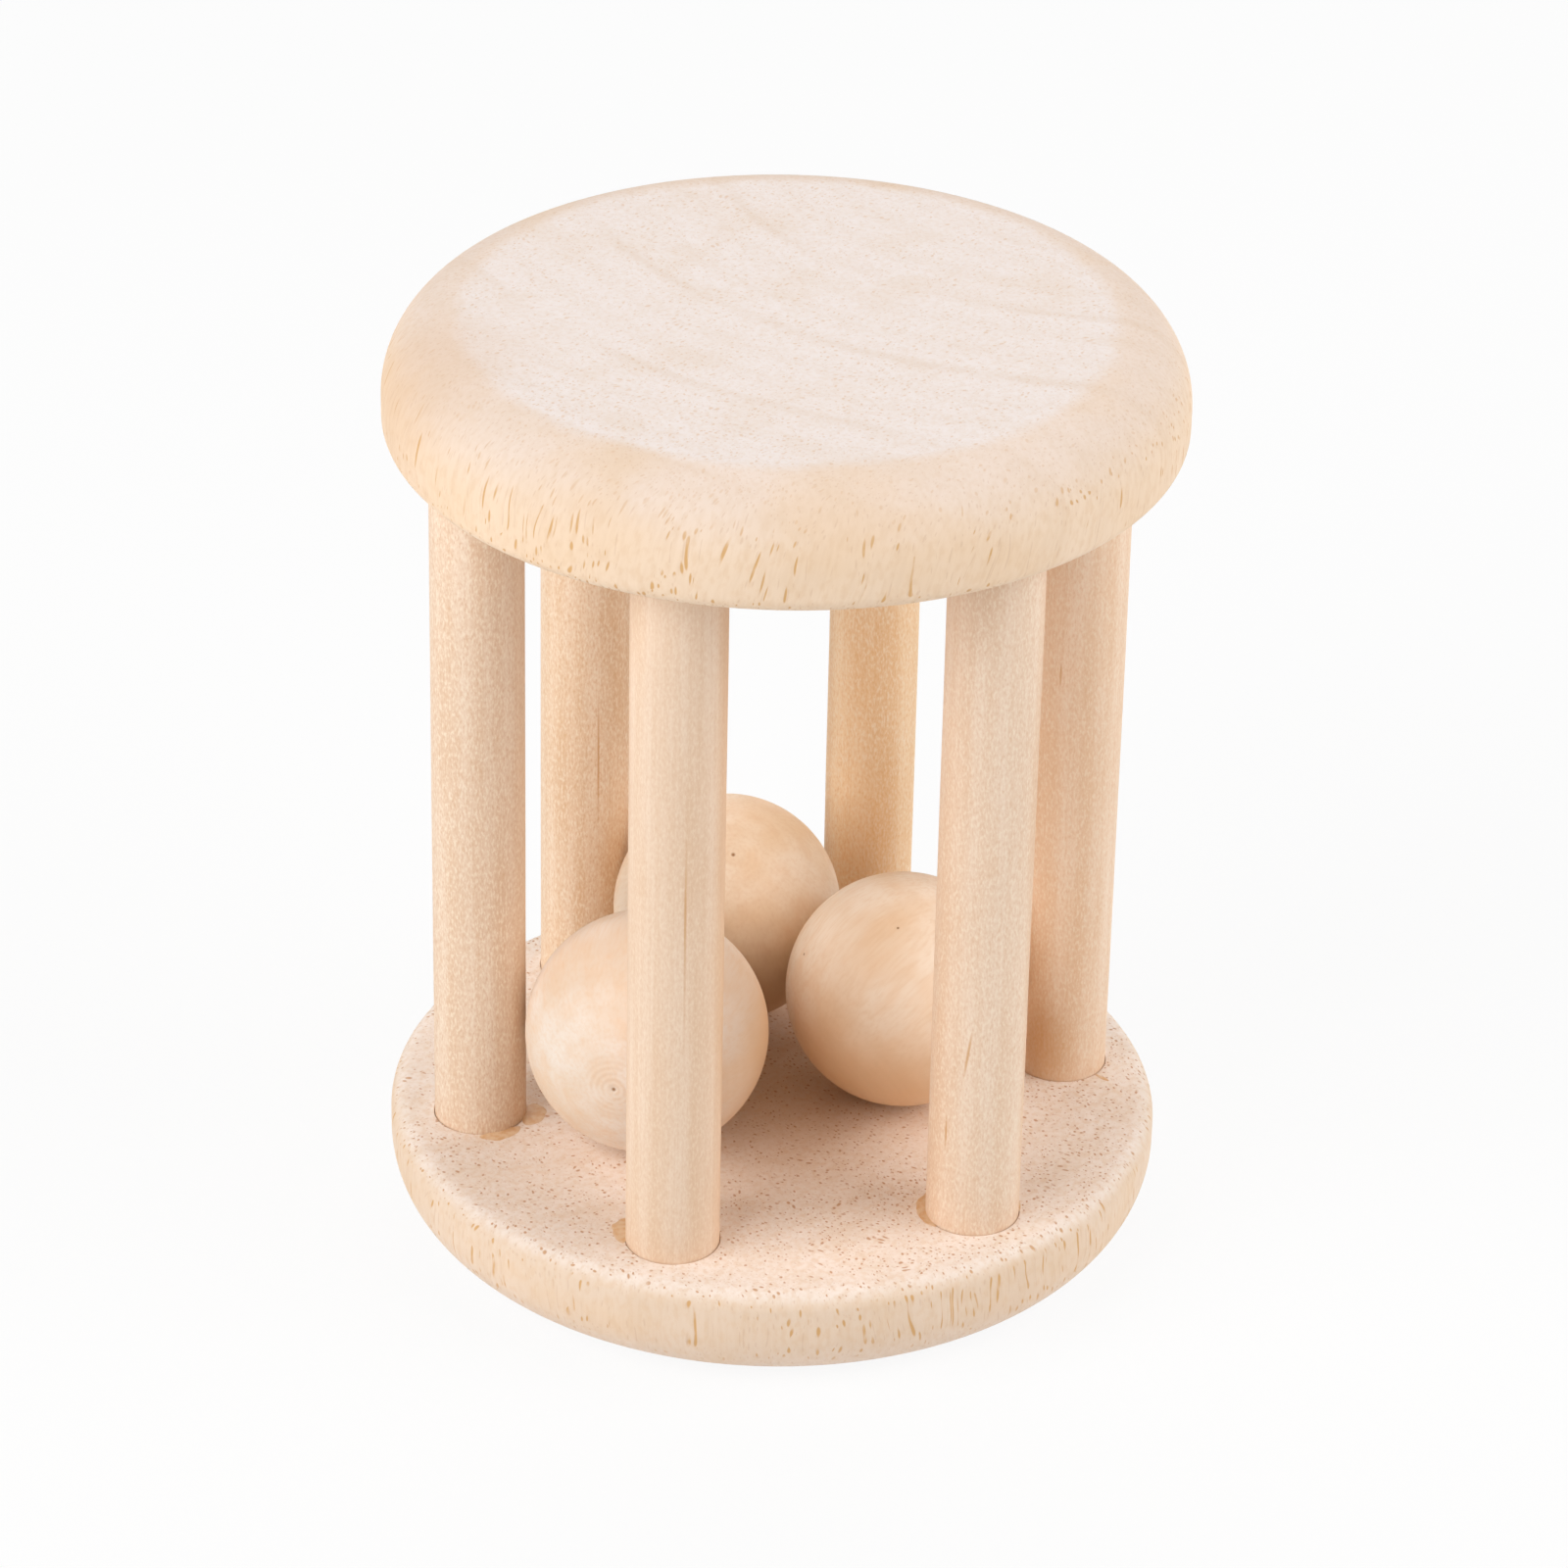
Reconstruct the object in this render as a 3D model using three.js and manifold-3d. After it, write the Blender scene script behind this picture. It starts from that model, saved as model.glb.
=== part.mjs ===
// A wooden cage rattle: two round discs joined by a ring of glued dowels, with loose balls in the cage.
// Millimetres, +Z up along the cage. The origin is the middle of the face that the rattle stands on.
import * as THREE from 'three';
import { mergeVertices, toCreasedNormals } from 'three/addons/utils/BufferGeometryUtils.js';
import Module from 'manifold-3d';

// Balls
const BALL_DIAMETER = 25;
const BALL_PLAY = 4; // how far a ball can roll outward from the cluster in which all the balls touch
const RUNNING_GAP = 0.3; // least room between a ball and the dowel or ball beside it
const SEAT_GAP = 0.1; // between a ball and the disc that it lies on

// Dowels and the sockets that hold them
const DOWEL_DIAMETER = 9.5;
const DOWEL_CHAMFER = 0.6; // eases a dowel's end into its socket
const GLUE_GAP = 0.15; // film of glue round a dowel
const END_GAP = 0.3; // glue pocket under a dowel's end
const SOCKET_FLOOR = 5; // wood left between a socket and the disc's outer face

// Discs
const DISC_THICKNESS = 12;
const CAGE_LENGTH = 77; // between the inner faces of the two discs
const RIM_MARGIN = 4.25; // wood between a dowel and the disc's rim
const OUTER_ROUND = 8; // radius of the wide round-over on a disc's outer edge
const INNER_ROUND = 2; // radius of the small fillet on a disc's inner edge
const MOST_ROUNDED = 0.9; // the two rounds together take no more of a disc's edge than this share

// Facets
const DISC_SIDES = 64;
const DOWEL_SIDES = 24;
const BALL_SIDES = 32;
const ROUND_STEPS = 6;
const CREASE_ANGLE = Math.PI / 5; // flatter edges than this are shaded smooth

// Dowels in their order round the ring, starting on +X and going anticlockwise seen from above.
const DOWEL_NAMES = [
  'right_dowel',
  'back_right_dowel',
  'back_left_dowel',
  'left_dowel',
  'front_left_dowel',
  'front_right_dowel',
];

// Each ball lies by the gap that follows dowel number `afterDowel`. It has rolled outward from the tight
// cluster, and sideways along the ring, by these shares of the play. Turned balls are never quite the same
// size: `size` is a ball's share of the full diameter.
const BALL_PLACES = [
  { name: 'left_ball', afterDowel: 3, outward: 0.48, sideways: -0.24, size: 1 },
  { name: 'right_ball', afterDowel: 5, outward: -0.44, sideways: 0.915, size: 0.976 },
  { name: 'back_ball', afterDowel: 1, outward: 0.41, sideways: 0.5, size: 0.964 },
];

// Sizes that follow from the driving dimensions
const ballRadius = BALL_DIAMETER / 2;
const dowelRadius = DOWEL_DIAMETER / 2;
const dowelStep = (2 * Math.PI) / DOWEL_NAMES.length;
const ballStep = (2 * Math.PI) / BALL_PLACES.length;

// Centre of a ball from the cage's axis: at its innermost with all balls touching, and at its outermost.
const clusterRadius = (BALL_DIAMETER + RUNNING_GAP) / (2 * Math.sin(ballStep / 2));
const outermostRadius = clusterRadius + BALL_PLAY;

// The ring of dowels is as wide as lets a ball roll to its outermost place, between two dowels.
const ballToDowel = ballRadius + dowelRadius + RUNNING_GAP;
const towardsDowel = outermostRadius * Math.sin(dowelStep / 2);
const ringRadius =
  outermostRadius * Math.cos(dowelStep / 2) + Math.sqrt(ballToDowel ** 2 - towardsDowel ** 2);

const discRadius = ringRadius + dowelRadius + RIM_MARGIN;
const overallHeight = CAGE_LENGTH + 2 * DISC_THICKNESS;
const roundScale = Math.min(1, (MOST_ROUNDED * DISC_THICKNESS) / (OUTER_ROUND + INNER_ROUND));
const outerRound = OUTER_ROUND * roundScale;
const innerRound = INNER_ROUND * roundScale;

const wasm = await Module();
wasm.setup();

const discWood = new THREE.MeshStandardMaterial({ color: '#efdac4', roughness: 0.65, metalness: 0 });
const dowelWood = new THREE.MeshStandardMaterial({ color: '#ecd4b6', roughness: 0.7, metalness: 0 });
const ballWood = new THREE.MeshStandardMaterial({ color: '#efd5b5', roughness: 0.5, metalness: 0 });

// A closed geometry as a solid that can be cut.
function toSolid(geometry) {
  geometry.deleteAttribute('normal');
  geometry.deleteAttribute('uv');
  const merged = mergeVertices(geometry);
  return new wasm.Manifold(
    new wasm.Mesh({
      numProp: 3,
      vertProperties: merged.attributes.position.array,
      triVerts: new Uint32Array(merged.index.array),
    }),
  );
}

// A cut solid as a geometry with crisp edges.
function toGeometry(solid) {
  const { vertProperties, triVerts } = solid.getMesh();
  const geometry = new THREE.BufferGeometry();
  geometry.setAttribute('position', new THREE.BufferAttribute(vertProperties, 3));
  geometry.setIndex(new THREE.BufferAttribute(triVerts, 1));
  return toCreasedNormals(geometry, CREASE_ANGLE);
}

// Turns a profile of (radius, height) points about the Z axis.
function turned(profile, sides) {
  return new THREE.LatheGeometry(profile, sides).rotateX(Math.PI / 2);
}

function arc(x, y, radius, startAngle, endAngle) {
  return new THREE.EllipseCurve(x, y, radius, radius, startAngle, endAngle).getPoints(ROUND_STEPS);
}

function ringPoint(index) {
  const angle = index * dowelStep;
  return new THREE.Vector3(ringRadius * Math.cos(angle), ringRadius * Math.sin(angle), 0);
}

// An end plate that lies on its outer face: rounded below, filleted above, with blind sockets in its top.
function discGeometry() {
  const profile = [
    new THREE.Vector2(0, 0),
    ...arc(discRadius - outerRound, outerRound, outerRound, -Math.PI / 2, 0),
    ...arc(discRadius - innerRound, DISC_THICKNESS - innerRound, innerRound, 0, Math.PI / 2),
    new THREE.Vector2(0, DISC_THICKNESS),
  ];
  const socketRadius = dowelRadius + GLUE_GAP;
  const cutterLength = 2 * (DISC_THICKNESS - SOCKET_FLOOR); // its upper half stands clear of the disc
  const disc = DOWEL_NAMES.reduce((solid, _, index) => {
    const { x, y } = ringPoint(index);
    const cutter = new THREE.CylinderGeometry(socketRadius, socketRadius, cutterLength, DOWEL_SIDES)
      .rotateX(Math.PI / 2)
      .translate(x, y, DISC_THICKNESS);
    return solid.subtract(toSolid(cutter));
  }, toSolid(turned(profile, DISC_SIDES)));
  return toGeometry(disc);
}

// A rod that stands on its own end, chamfered at both ends.
function dowelGeometry() {
  const socketDepth = DISC_THICKNESS - SOCKET_FLOOR;
  const length = CAGE_LENGTH + 2 * (socketDepth - END_GAP);
  const profile = [
    new THREE.Vector2(0, 0),
    new THREE.Vector2(dowelRadius - DOWEL_CHAMFER, 0),
    new THREE.Vector2(dowelRadius, DOWEL_CHAMFER),
    new THREE.Vector2(dowelRadius, length - DOWEL_CHAMFER),
    new THREE.Vector2(dowelRadius - DOWEL_CHAMFER, length),
    new THREE.Vector2(0, length),
  ];
  return turned(profile, DOWEL_SIDES);
}

function discs() {
  const bottom = new THREE.Mesh(discGeometry(), discWood);
  bottom.name = 'bottom_disc';
  const top = new THREE.Mesh(discGeometry(), discWood);
  top.name = 'top_disc';
  top.rotation.x = Math.PI;
  top.position.z = overallHeight;
  return [bottom, top];
}

function dowels() {
  return DOWEL_NAMES.map((name, index) => {
    const dowel = new THREE.Mesh(dowelGeometry(), dowelWood);
    dowel.name = name;
    dowel.position.copy(ringPoint(index));
    dowel.position.z = SOCKET_FLOOR + END_GAP;
    return dowel;
  });
}

function balls() {
  return BALL_PLACES.map(({ name, afterDowel, outward, sideways, size }) => {
    const radius = size * ballRadius;
    const sphere = new THREE.SphereGeometry(radius, BALL_SIDES, BALL_SIDES / 2);
    const ball = new THREE.Mesh(sphere.rotateX(Math.PI / 2), ballWood);
    ball.name = name;
    const angle = (afterDowel + 0.5) * dowelStep;
    const along = new THREE.Vector3(Math.cos(angle), Math.sin(angle), 0);
    const across = new THREE.Vector3(-Math.sin(angle), Math.cos(angle), 0);
    ball.position
      .addScaledVector(along, clusterRadius + outward * BALL_PLAY)
      .addScaledVector(across, sideways * BALL_PLAY);
    ball.position.z = DISC_THICKNESS + SEAT_GAP + radius;
    return ball;
  });
}

const rattle = new THREE.Group();
rattle.add(...discs(), ...dowels(), ...balls());

export default rattle;
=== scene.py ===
# %% [markdown]
# # A wooden cage rattle
#
# The rattle is a baby's toy of bare wood: two turned discs, six dowels glued between them, and three
# loose balls that knock about in the cage. This lesson dresses the plain solids of the rattle: each piece
# gets a fine mesh and a wood of its own, and the toy then stands on white paper under soft studio light.
# Everything is in metres, and the solids give the place and size of every wooden piece, so none of them
# has to be fitted by eye.

import math

import bpy
from mathutils import Matrix, Vector


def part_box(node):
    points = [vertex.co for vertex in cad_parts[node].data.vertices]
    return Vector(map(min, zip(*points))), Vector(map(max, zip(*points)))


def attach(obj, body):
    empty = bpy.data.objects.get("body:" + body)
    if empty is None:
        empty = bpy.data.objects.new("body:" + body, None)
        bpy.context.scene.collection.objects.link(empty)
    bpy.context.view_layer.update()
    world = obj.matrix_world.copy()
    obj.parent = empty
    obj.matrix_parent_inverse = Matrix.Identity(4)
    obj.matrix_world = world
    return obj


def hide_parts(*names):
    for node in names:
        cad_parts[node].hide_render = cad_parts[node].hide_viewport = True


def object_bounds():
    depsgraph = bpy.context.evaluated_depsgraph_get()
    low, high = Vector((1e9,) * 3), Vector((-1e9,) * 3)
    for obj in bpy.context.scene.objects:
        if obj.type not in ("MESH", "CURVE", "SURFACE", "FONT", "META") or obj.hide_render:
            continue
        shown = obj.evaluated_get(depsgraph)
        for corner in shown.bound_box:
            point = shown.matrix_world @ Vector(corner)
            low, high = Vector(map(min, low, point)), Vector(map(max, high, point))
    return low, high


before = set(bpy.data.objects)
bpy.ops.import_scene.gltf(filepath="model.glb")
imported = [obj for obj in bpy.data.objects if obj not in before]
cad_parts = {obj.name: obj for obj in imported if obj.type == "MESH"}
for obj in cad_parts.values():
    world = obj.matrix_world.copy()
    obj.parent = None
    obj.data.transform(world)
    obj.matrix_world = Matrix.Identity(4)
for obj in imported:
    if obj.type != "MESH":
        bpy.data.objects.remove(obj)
solid_low, solid_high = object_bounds()
middle = (solid_low + solid_high) / 2
print("solids:", sorted(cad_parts), "from", tuple(solid_low), "to", tuple(solid_high))

# %% [markdown]
# ## The camera
#
# The camera looks down on the rattle through a long lens, a little from its left. A long lens from afar
# keeps the discs close to true ellipses. The camera's axes are worked out first and then set as the
# columns of its matrix, which is clearer than three Euler angles when the picture is also tilted a
# little.

# %% Stand the camera
MM = 0.001
PICTURE_SIDE = 1600
FOCAL_LENGTH_PIXELS = 6451
SENSOR_WIDTH_MM = 36.0
CAMERA_AZIMUTH = -11.65
CAMERA_ELEVATION = 29.8
CAMERA_ROLL = 1.2
CAMERA_DISTANCE = 645 * MM
CAMERA_SIDESTEP = 0.5 * MM
CAMERA_LIFT = -2.0 * MM
CAMERA_CLIP = 10 * MM


def towards(azimuth, elevation):
    """The unit vector for an azimuth from +X towards +Y and an elevation above the floor, in degrees."""
    turn, rise = math.radians(azimuth), math.radians(elevation)
    return Vector((math.cos(rise) * math.cos(turn), math.cos(rise) * math.sin(turn), math.sin(rise)))


camera_back = towards(CAMERA_AZIMUTH - 90, CAMERA_ELEVATION)
camera_right = towards(CAMERA_AZIMUTH, 0)
camera_right.rotate(Matrix.Rotation(math.radians(CAMERA_ROLL), 3, camera_back))
camera_up = camera_back.cross(camera_right)
camera_eye = middle + CAMERA_DISTANCE * camera_back
camera_eye += CAMERA_SIDESTEP * camera_right + CAMERA_LIFT * camera_up

camera_data = bpy.data.cameras.new("studio_camera")
camera_data.sensor_width = SENSOR_WIDTH_MM
camera_data.lens = FOCAL_LENGTH_PIXELS / PICTURE_SIDE * SENSOR_WIDTH_MM
camera_data.clip_start = CAMERA_CLIP
camera = bpy.data.objects.new("studio_camera", camera_data)
camera_axes = Matrix((camera_right, camera_up, camera_back)).transposed().to_4x4()
camera.matrix_world = Matrix.Translation(camera_eye) @ camera_axes
bpy.context.scene.collection.objects.link(camera)
bpy.context.scene.camera = camera
print("lens: %.1f mm, eye at" % camera_data.lens, tuple(camera_eye))

# %% [markdown]
# ## One helper for every node tree
#
# Materials, the world and the Geometry Nodes trees are all node trees. One small function is enough to
# build them: it adds a node, gives it its settings, and fills its inputs with plain values or with the
# outputs of other nodes. It hands back the new node's output, so that one call can feed the next. A few
# kinds of node come up again and again, so their settings have names. Colours are written as the hex
# values that a painter would pick, and a second function turns them into linear light. A third one
# starts an empty material.

# %% Helpers for nodes and colours
COLOUR_MIX = {"kind": "ShaderNodeMix", "data_type": "RGBA"}
SMOOTH_STEP = {"kind": "ShaderNodeMapRange", "interpolation_type": "SMOOTHSTEP"}
TIMES = {"kind": "ShaderNodeMath", "operation": "MULTIPLY"}
STRETCH = {"kind": "ShaderNodeVectorMath", "operation": "MULTIPLY"}
LENGTH = {"kind": "ShaderNodeVectorMath", "operation": "LENGTH", "output": "Value"}
NODE_STEP = 200  # how far apart the nodes stand in the editor


def add(tree, kind, inputs=None, output=None, **settings):
    """Add a node to a tree and return one of its outputs, by default the first that is in use."""
    made = tree.nodes.new(kind)
    made.location = (NODE_STEP * len(tree.nodes), 0)
    for name, value in settings.items():
        setattr(made, name, value)
    for name, value in (inputs or {}).items():
        named = [socket for socket in made.inputs if socket.enabled and socket.name == name]
        socket = named[0] if named else made.inputs[name]
        if isinstance(value, bpy.types.NodeSocket):
            tree.links.new(value, socket)
        else:
            socket.default_value = value
    in_use = [socket for socket in made.outputs if socket.enabled]
    return made.outputs[output] if output else next(iter(in_use), made)


def paint(hex_colour):
    """A colour written as #RRGGBB in sRGB, as the linear colour that Blender's sockets hold."""
    shares = [int(hex_colour[start : start + 2], 16) / 255 for start in (1, 3, 5)]
    linear = [s / 12.92 if s <= 0.04045 else ((s + 0.055) / 1.055) ** 2.4 for s in shares]
    return (*linear, 1.0)


def new_material(name):
    """A material with an empty tree, and that tree."""
    material = bpy.data.materials.new(name)
    material.use_nodes = True
    material.node_tree.nodes.clear()
    return material, material.node_tree


print("a pale wood tone in linear light:", tuple(round(c, 3) for c in paint("#F0D9C0")))

# %% [markdown]
# ## The white surroundings
#
# The toy stands on white paper that fills the picture. The world is white where the camera, a reflection
# or clear glass sees it, and gives very little light to everything else, so that the lamps shape the
# toy and its pale wood doesn't burn out. Light Path tells the two kinds of ray apart.

# %% White world
SKY_LIGHT = 0.02


def seen_directly(tree):
    """One where the camera, a mirror reflection or clear glass looks, and zero for all other light."""
    path = add(tree, "ShaderNodeLightPath").node.outputs
    larger = {"kind": "ShaderNodeMath", "operation": "MAXIMUM"}
    seen = add(tree, inputs={0: path["Is Camera Ray"], 1: path["Is Glossy Ray"]}, **larger)
    return add(tree, inputs={0: seen, 1: path["Is Transmission Ray"]}, **larger)


world = bpy.data.worlds.new("white_studio")
bpy.context.scene.world = world
world.use_nodes = True
world.node_tree.nodes.clear()
sky_strength = add(
    world.node_tree,
    "ShaderNodeMapRange",
    {"Value": seen_directly(world.node_tree), "To Min": SKY_LIGHT, "To Max": 1.0},
)
sky = add(world.node_tree, "ShaderNodeBackground", {"Color": paint("#FFFFFF"), "Strength": sky_strength})
add(world.node_tree, "ShaderNodeOutputWorld", {"Surface": sky})

bpy.context.scene.view_settings.view_transform = "Standard"
print("sky light:", SKY_LIGHT)

# %% [markdown]
# Three large soft boxes stand round the toy, as in a small photo tent: a strong one on its left, a weaker
# one on its right, and one behind that reaches over the top. The side boxes are low enough to shine in
# under the top disc. The wood then lights the inside of the cage by itself, which makes the shadows there
# warm. An area lamp of power P lights a white surface at distance d to a brightness of P / (pi * d)^2, so
# each power follows from a wanted brightness.

# %% Soft boxes
LAMP_DISTANCE = 0.9
LAMP_SIDE = 0.8


def soft_box(name, azimuth, elevation, brightness):
    """A square area lamp that looks at the rattle from this direction, given in degrees."""
    lamp = bpy.data.lights.new(name, "AREA")
    lamp.size = LAMP_SIDE
    lamp.energy = brightness * (math.pi * LAMP_DISTANCE) ** 2
    box = bpy.data.objects.new(name, lamp)
    aim = towards(azimuth, elevation)
    box.location = middle + LAMP_DISTANCE * aim
    box.rotation_euler = aim.to_track_quat("Z", "Y").to_euler()
    bpy.context.scene.collection.objects.link(box)
    print(name, "%.2f watts" % lamp.energy)


soft_box("left_light", azimuth=-155, elevation=30, brightness=0.95)
soft_box("right_light", azimuth=-25, elevation=28, brightness=0.77)
soft_box("back_light", azimuth=80, elevation=50, brightness=0.39)

# %% [markdown]
# The paper is one large sheet just under the rattle. Where the camera sees it, most of its brightness is
# its own white, and the rest is real light, so it reads as white and still holds the toy's soft shadow.
# Seen from below it is clear, so that the underside of the toy can be looked at.

# %% White paper floor
PAPER_SIDE = 8.0
PAPER_DROP = 0.1 * MM
PAPER_OWN_WHITE = 0.9


def white_paper():
    """Smooth white paper: bright and even, with no texture that could draw the eye."""
    material, tree = new_material("white_paper")
    lit = add(tree, "ShaderNodeBsdfDiffuse", {"Color": paint("#F4F4F3")})
    white = add(tree, "ShaderNodeEmission", {"Color": paint("#FFFFFF"), "Strength": 1.0})
    share = add(tree, inputs={0: seen_directly(tree), 1: PAPER_OWN_WHITE}, **TIMES)
    bright = add(tree, "ShaderNodeMixShader", {0: share, 1: lit, 2: white})
    under = add(tree, "ShaderNodeNewGeometry", output="Backfacing")
    clear = add(tree, "ShaderNodeBsdfTransparent")
    surface = add(tree, "ShaderNodeMixShader", {0: under, 1: bright, 2: clear})
    add(tree, "ShaderNodeOutputMaterial", {"Surface": surface})
    return material


paper_mesh = bpy.data.meshes.new("paper")
half_paper = PAPER_SIDE / 2
paper_height = solid_low.z - PAPER_DROP
paper_ways = ((-1, -1), (1, -1), (1, 1), (-1, 1))
paper_corners = [(x * half_paper, y * half_paper, paper_height) for x, y in paper_ways]
paper_mesh.from_pydata(paper_corners, [], [(0, 1, 2, 3)])
paper_mesh.materials.append(white_paper())
paper = bpy.data.objects.new("paper", paper_mesh)
bpy.context.scene.collection.objects.link(paper)
print("paper at height", paper_height)

# %% [markdown]
# ## Wood, pattern by pattern
#
# A solid texture is the honest way to draw wood: growth rings, fibres and pores fill space, and each cut
# shows what it meets there. The same pores are dots on end grain and dashes along a rim, with no seam
# between the two. Most patterns below work in one space: millimetres from a chosen place, turned so
# that Z runs along the grain and Y towards the pith. The Mapping node does this with its Texture setting,
# which moves, turns and scales the pattern.

# %% Space that follows the grain


def grain_space(tree, place, lean, ray):
    """Object coordinates in millimetres from a place in metres, with Z along `lean` and Y close to `ray`."""
    along = lean.normalized()
    across = ray.cross(along).normalized()
    turn = Matrix((across, along.cross(across), along)).transposed().to_euler()
    spot = add(tree, "ShaderNodeTexCoord", output="Object")
    return add(
        tree,
        "ShaderNodeMapping",
        {"Vector": spot, "Location": place, "Rotation": turn, "Scale": (MM, MM, MM)},
        vector_type="TEXTURE",
    )


def fibres(tree, space, width, length, detail=2.0):
    """Noise drawn out along the grain, with streaks of about this width and length in millimetres. A
    single fibre is far too thin to show, so a streak is as coarse as a bundle of them."""
    drawn = add(tree, inputs={0: space, 1: (1 / width, 1 / width, 1 / length)}, **STRETCH)
    return add(tree, "ShaderNodeTexNoise", {"Vector": drawn, "Scale": 1.0, "Detail": detail})


print("patterns: grain space and fibres")

# %% [markdown]
# Pores are the cut ends of long tubes that carried the tree's sap. A flat Voronoi texture scatters one
# point in each cell, and because it ignores Z, each point is a tube that runs along the grain. Where a
# surface cuts a tube squarely the eye sees a dot, and where it cuts the tube at a slant, a dash. Tubes
# wander a little on their way, so space is swayed first. Each tube draws a lot from its cell's colour,
# which decides whether it is there at all, because real pores come in drifts, and how wide it is.

# %% Pores
RAY_STRETCH = 1.25
WANDER = 3.0
WANDER_WIDTH = 5.0
WANDER_LENGTH = 9.0
PORE_CORE = 0.45  # the share of a pore's width that is fully dark


def wandering(tree, space):
    """Grain space in which lines along the grain sway a little from side to side."""
    sway = fibres(tree, space, WANDER_WIDTH, WANDER_LENGTH, detail=1.0).node.outputs["Color"]
    shift = {0: sway, 1: (WANDER, WANDER, 0), 2: space}
    return add(tree, "ShaderNodeVectorMath", shift, operation="MULTIPLY_ADD")


def pores(tree, space, spacing, width, crowding):
    """One inside the tubes of the wood and zero outside, for this width and spacing in millimetres."""
    squeezed = add(tree, inputs={0: space, 1: (1 / spacing, 1 / spacing / RAY_STRETCH, 0)}, **STRETCH)
    scatter = {"Vector": squeezed, "Scale": 1.0}
    cell = add(tree, "ShaderNodeTexVoronoi", scatter, voronoi_dimensions="2D").node.outputs
    lots = add(tree, "ShaderNodeSeparateColor", {"Color": cell["Color"]}).node.outputs
    girth = add(tree, "ShaderNodeMapRange", {"Value": lots["Green"], "To Min": 0.45, "To Max": 1.25})
    reach = add(tree, "ShaderNodeMath", {0: cell["Distance"], 1: girth}, operation="DIVIDE")
    wall = width / 2 / spacing
    tube = add(
        tree,
        inputs={"Value": reach, "From Min": PORE_CORE * wall, "From Max": wall, "To Min": 1.0, "To Max": 0.0},
        **SMOOTH_STEP,
    )
    there = add(tree, "ShaderNodeMath", {0: lots["Red"], 1: crowding}, operation="LESS_THAN")
    return add(tree, inputs={0: tube, 1: there}, **TIMES)


print("patterns: pores, drawn out", RAY_STRETCH, "times along the rays")

# %% [markdown]
# Growth lines are cylinders round the pith, the tree's middle. Their distance from the pith wavers a
# little, and Ping-Pong folds that distance into the gap to the nearest line. A long mark is a soft
# ellipsoid about one place, and serves for streaks, specks and patches.

# %% Growth lines and long marks


def growth_lines(tree, space, first, spacing, soft, waver):
    """One on the lines between two years' growth, fading to zero `soft` millimetres away from them."""
    across = add(tree, inputs={0: space, 1: (1, 1, 0)}, **STRETCH)
    radius = add(tree, inputs={0: across}, **LENGTH)
    sway = fibres(tree, space, width=18, length=60)
    swayed = add(tree, "ShaderNodeMath", {0: sway, 1: waver, 2: radius}, operation="MULTIPLY_ADD")
    from_first = add(tree, "ShaderNodeMath", {0: swayed, 1: first + waver / 2}, operation="SUBTRACT")
    gap = add(tree, "ShaderNodeMath", {0: from_first, 1: spacing / 2}, operation="PINGPONG")
    fade = {"Value": gap, "From Min": 0.0, "From Max": soft, "To Min": 1.0, "To Max": 0.0}
    return add(tree, inputs=fade, **SMOOTH_STEP)


def long_mark(tree, place, lean, width, length):
    """One at a place in metres, fading to zero at the edge of a mark of this size in millimetres."""
    spot = add(tree, "ShaderNodeTexCoord", output="Object")
    turn = lean.to_track_quat("Z", "Y").to_euler()
    size = (width * MM / 2, width * MM / 2, length * MM / 2)
    inside = add(
        tree,
        "ShaderNodeMapping",
        {"Vector": spot, "Location": place, "Rotation": turn, "Scale": size},
        vector_type="TEXTURE",
    )
    reach = add(tree, inputs={0: inside}, **LENGTH)
    fade = {"Value": reach, "From Min": 0.2, "From Max": 1.0, "To Min": 1.0, "To Max": 0.0}
    return add(tree, inputs=fade, **SMOOTH_STEP)


print("patterns: growth lines and long marks")

# %% [markdown]
# ## Wood of the discs
#
# The discs are slices across a trunk of pale rubberwood, turned and sanded. Their flat outer faces are
# end grain, matt and nearly white where the sanding dust stays in the pores. Their rims are warmer and
# show the pores as orange-brown dashes. The grain leans a little, a different way in each disc, so the
# dashes lean too. The inner faces look less sanded, with open brown pores. A picture of wood on each face
# would not meet the rim at its edge, so the solid patterns draw the whole disc at once. The normal tells
# the parts of a disc apart, and noise makes the edge of the pale sanded face ragged.

# %% Parts of a disc
# Sizes are in millimetres.
SANDED_REACH = 32.2  # where the pale sanded face begins to end, from the disc's axis
SANDED_FADE = 2.4
SANDED_RAGGED = 2.0


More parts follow.
